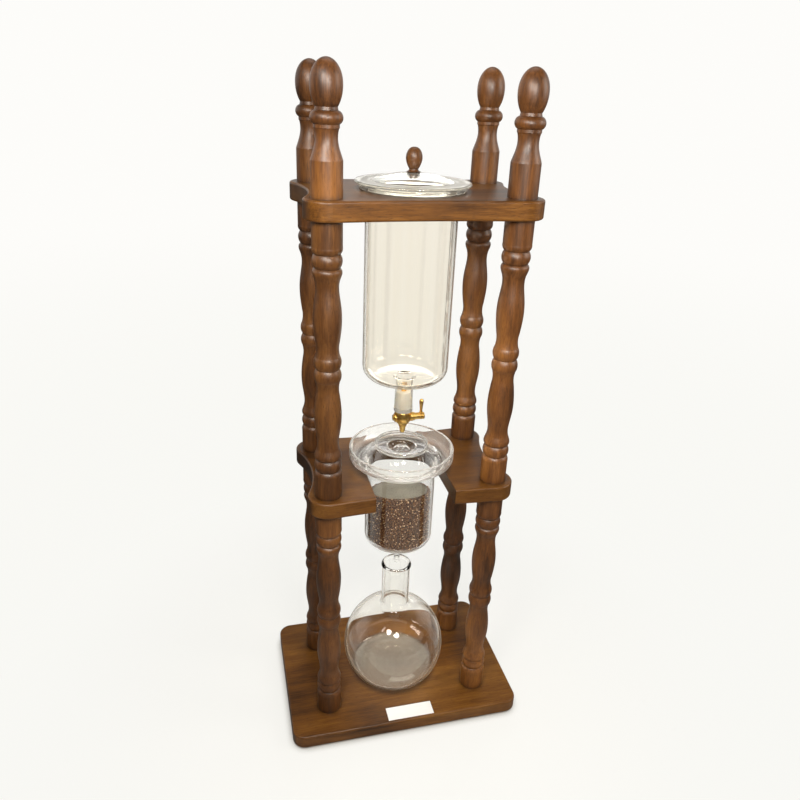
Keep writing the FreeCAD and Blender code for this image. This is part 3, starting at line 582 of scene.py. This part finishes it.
coffee, tree, shader, place = new_finish("ground_coffee")
roast = add(tree, "Attribute", attribute_name="roast").outputs["Fac"]
flecks = cloud(tree, place, 1500)
tone = calc(tree, "MULTIPLY_ADD", flecks, 0.35, calc(tree, "MULTIPLY", roast, 0.8))
# The palest stop paints rare bright specks on the grains: painted glints.
feed(tree, shader, {
    "Base Color": shade_stops(tree, tone, [(0.18, (0.024, 0.0080, 0.0018)), (0.50, (0.116, 0.045, 0.0095)),
                                           (0.84, (0.205, 0.090, 0.025)), (0.985, (0.92, 0.69, 0.40))]),
    "Roughness": calc(tree, "MULTIPLY_ADD", flecks, 0.3, 0.45),
    "Normal": relief(tree, flecks, 0.5, 0.15 * MM),
    "Specular IOR Level": 0.2,
})


def socket(tree, name, kind, value=None, direction="INPUT"):
    """Adds a named input or output to a node tree."""
    made = tree.interface.new_socket(name, in_out=direction, socket_type=kind)
    if value is not None:
        made.default_value = value


def random_field(tree, data_type, inputs):
    """The output of a Random Value node of this type."""
    field = add(tree, "FunctionNodeRandomValue", inputs, data_type=data_type)
    kind = "VECTOR" if data_type == "FLOAT_VECTOR" else "VALUE"
    return next(output for output in field.outputs if output.type == kind and output.enabled)


grains = bpy.data.node_groups.new("coffee_grains", "GeometryNodeTree")
socket(grains, "Core", "NodeSocketGeometry")
socket(grains, "Grains per square metre", "NodeSocketFloat", 320000.0)
socket(grains, "Smallest grain", "NodeSocketFloat", 0.42 * MM)
socket(grains, "Largest grain", "NodeSocketFloat", 0.80 * MM)
socket(grains, "Seed", "NodeSocketInt", 11)
socket(grains, "Finish", "NodeSocketMaterial")
socket(grains, "Bed", "NodeSocketGeometry", direction="OUTPUT")
given = grains.nodes.new("NodeGroupInput").outputs
scattered = add(grains, "GeometryNodeDistributePointsOnFaces",
                {"Mesh": given["Core"], "Density": given["Grains per square metre"], "Seed": given["Seed"]})
lump = add(grains, "GeometryNodeMeshIcoSphere", {"Radius": 1.0, "Subdivisions": 1})
size = random_field(grains, "FLOAT", {"Min": given["Smallest grain"], "Max": given["Largest grain"],
                                      "Seed": given["Seed"]})
turn = random_field(grains, "FLOAT_VECTOR", {"Min": (0, 0, 0), "Max": (math.tau,) * 3,
                                             "Seed": given["Seed"]})
placed = add(grains, "GeometryNodeInstanceOnPoints",
             {"Points": scattered.outputs["Points"], "Instance": lump.outputs["Mesh"], "Rotation": turn,
              "Scale": size})
roasted = add(grains, "GeometryNodeStoreNamedAttribute",
              {"Geometry": placed.outputs["Instances"], "Name": "roast",
               "Value": random_field(grains, "FLOAT", {"Seed": 5})}, data_type="FLOAT", domain="INSTANCE")
joined = add(grains, "GeometryNodeJoinGeometry")
grains.links.new(given["Core"], joined.inputs[0])
grains.links.new(roasted.outputs[0], joined.inputs[0])
loose = add(grains, "GeometryNodeRealizeInstances", {"Geometry": joined.outputs[0]})
painted = add(grains, "GeometryNodeSetMaterial",
              {"Geometry": loose.outputs[0], "Material": given["Finish"]})
add(grains, "NodeGroupOutput", {"Bed": painted.outputs[0]})

scatter = bed.modifiers.new("grains", "NODES")
scatter.node_group = grains
inputs = {item.name: item.identifier for item in grains.interface.items_tree if item.in_out == "INPUT"}
scatter[inputs["Finish"]] = coffee
view = bpy.context.evaluated_depsgraph_get()
covered = bpy.data.meshes.new_from_object(bed.evaluated_get(view), preserve_all_data_layers=True,
                                          depsgraph=view)
bed.modifiers.clear()
bed.data = covered
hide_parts("coffee_grounds")
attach(bed, "chamber")


# ---- Filter paper ----
# A round of unbleached paper, damp and a little cockled. It lies on the slope of the coffee and spreads
# the drops.
paper_low, paper_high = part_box("filter_paper")
paper_r = paper_high.x
paper_t, cockle_height = 0.35 * MM, 0.2 * MM
bands, paper_steps = 9, 96
under = [(paper_r * step / bands, paper_low.z + 0.05 * MM) for step in range(bands + 1)]
over = [(radius, height + paper_t) for radius, height in reversed(under)]
disc = lathe("paper_disc", under + over, paper_steps)
for vertex in disc.data.vertices:
    share = vertex.co.xy.length / paper_r
    bearing = math.atan2(vertex.co.y, vertex.co.x)
    cockle = 0.5 + 0.5 * math.sin(3 * bearing + 0.8) * share
    vertex.co.z += cockle_height * cockle * share - bed_slope * (vertex.co.y + bed_r)
disc.data.shade_smooth()

pulp, tree, shader, place = new_finish("damp_paper")
fibres = cloud(tree, place, 700, 5.0, 0.7, Distortion=1.5)
damp = cloud(tree, place, 38)
tone = calc(tree, "MULTIPLY_ADD", fibres, 0.4, calc(tree, "MULTIPLY", damp, 0.6))
feed(tree, shader, {
    "Base Color": shade_stops(tree, tone, [(0.30, (0.115, 0.100, 0.070)), (0.52, (0.172, 0.155, 0.116)),
                                           (0.72, (0.222, 0.205, 0.162))]),
    "Roughness": calc(tree, "MULTIPLY_ADD", fibres, 0.3, 0.55),
    "Normal": relief(tree, fibres, 0.5, 0.1 * MM),
})
finish(pulp, "paper_disc")
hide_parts("filter_paper")
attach(disc, "chamber")


# ---- Water spreader ----
# A loose glass dish with a pierced well, on a flared skirt that stands in the bowl's round corner.
spreader_glass = clear_glass("spreader_glass", tint=(0.975, 0.972, 0.960), wave_depth=0.3 * MM,
                             painted_reflection_tone=(0.62, 0.61, 0.58), painted_rim_reflection=0.5, painted_inner_reflection=0.20)
finish(spreader_glass, "water_spreader")


# ---- Flask ----
# A round flask of thin clear glass with a straight neck and a beaded mouth. Its flat foot carries a milky
# patch of painted reflection.
flask_glass = clear_glass("flask_glass", tint=(0.992, 0.986, 0.966), wave_depth=0.3 * MM,
                          painted_reflection_tone=(0.95, 0.86, 0.72), painted_rim_reflection=0.5, painted_milk=0.19,
                          painted_milk_span=(26 * MM, 22 * MM))
finish(flask_glass, "flask")
